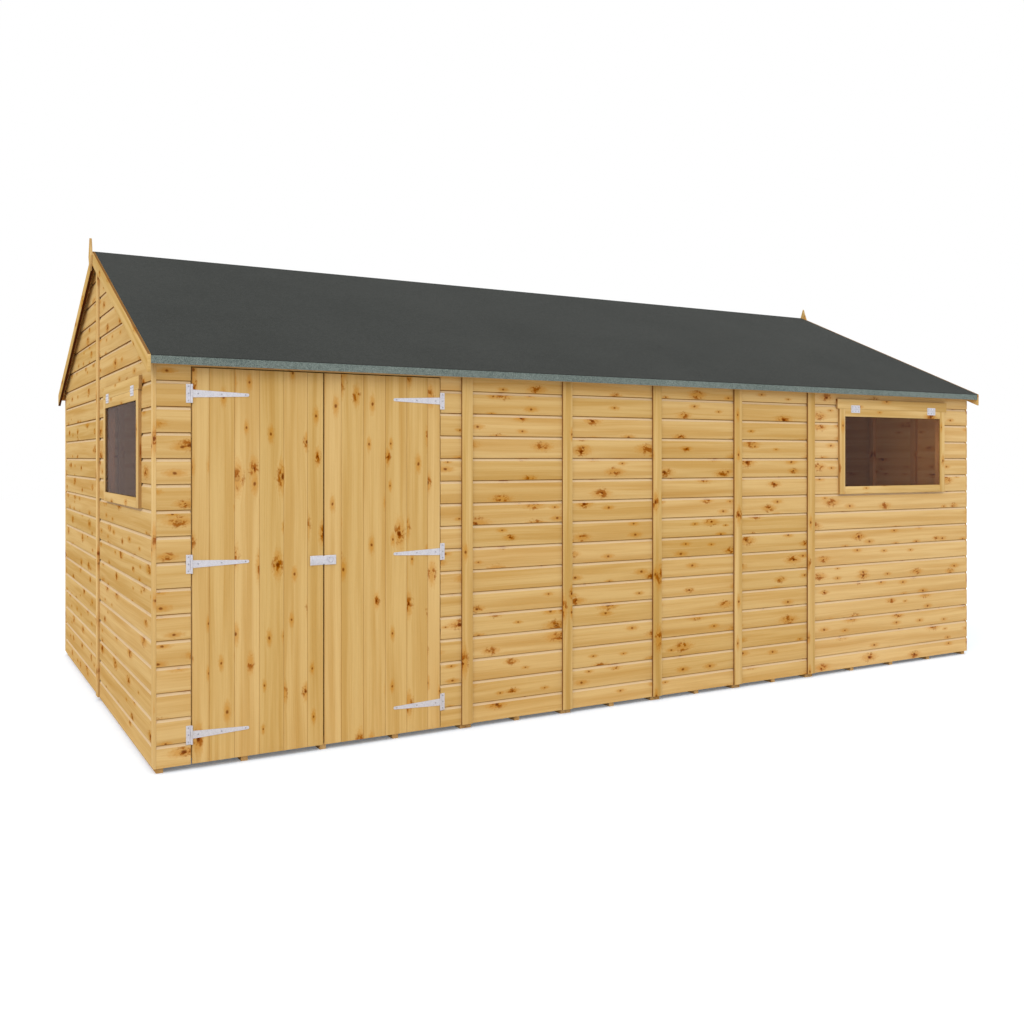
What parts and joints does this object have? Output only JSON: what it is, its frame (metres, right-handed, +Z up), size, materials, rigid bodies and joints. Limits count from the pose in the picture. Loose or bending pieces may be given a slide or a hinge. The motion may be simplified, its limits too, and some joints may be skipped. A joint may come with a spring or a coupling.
{
  "type": "wooden garden shed",
  "caption": "Long wooden garden shed with shiplap walls, a double door on T-hinges, top-hung windows and a felted apex roof, hollow inside, with framing and floor.",
  "frame": {"origin": "middle of the footprint at ground level, under the bearers", "axes": "+X along the front to the right, +Y from the front to the back, +Z up; the doors are on the -Y side"},
  "size_m": [5.524, 3.257, 2.5903],
  "materials": {
    "cladding_pine": "matt, knotty softwood",
    "door_pine": "matt, knotty softwood",
    "trim_pine": "matt, planed softwood",
    "framing_pine": "matt, sawn softwood",
    "floor_pine": "matt, planed softwood",
    "roof_felt": "matt mineral felt",
    "eaves_felt": "matt mineral felt",
    "galvanised": "bright zinc",
    "pane": "clear, glossy"
  },
  "bodies": {
    "shed": {"front_wall_left": "cladding_pine", "front_wall_header": "cladding_pine", "front_wall_right": "cladding_pine", "front_wall_panels": "cladding_pine", "front_window_wall": "cladding_pine", "back_wall_panels": "cladding_pine", "left_gable_front": "cladding_pine", "left_gable_back": "cladding_pine", "right_gable_front": "cladding_pine", "right_gable_back": "cladding_pine", "left_barge_boards": "trim_pine", "right_barge_boards": "trim_pine", "finials": "trim_pine", "front_cover_strips": "trim_pine", "back_cover_strips": "trim_pine", "gable_trims": "trim_pine", "window_sashes": "trim_pine", "window_head_strips": "trim_pine", "floor_bearers": "framing_pine", "sole_plates": "framing_pine", "wall_studs": "framing_pine", "top_plates": "framing_pine", "window_rails": "framing_pine", "front_rafters": "framing_pine", "back_rafters": "framing_pine", "ridge_board": "framing_pine", "front_roof_deck": "framing_pine", "back_roof_deck": "framing_pine", "eaves_battens": "framing_pine", "floor_deck": "floor_pine", "front_roof_felt": "roof_felt", "back_roof_felt": "roof_felt", "eaves_felt": "eaves_felt", "window_hinges": "galvanised", "hinge_plates": "galvanised", "window_panes": "pane"},
    "left_door": {"left_door_boards": "door_pine", "left_door_ledges": "framing_pine", "left_door_straps": "galvanised", "hasp_plate": "galvanised"},
    "right_door": {"right_door_boards": "door_pine", "right_door_ledges": "framing_pine", "right_door_straps": "galvanised", "hasp_staple": "galvanised"}
  },
  "joints": [
    {"name": "left_door_swing", "type": "hinge", "parent": "shed", "child": "left_door", "pos_m": [-2.5525, -1.571, 0], "axis": [0, 0, -1], "range_deg": [0, 150]},
    {"name": "right_door_swing", "type": "hinge", "parent": "shed", "child": "right_door", "pos_m": [-1.3475, -1.571, 0], "axis": [0, 0, 1], "range_deg": [0, 150]}
  ]
}
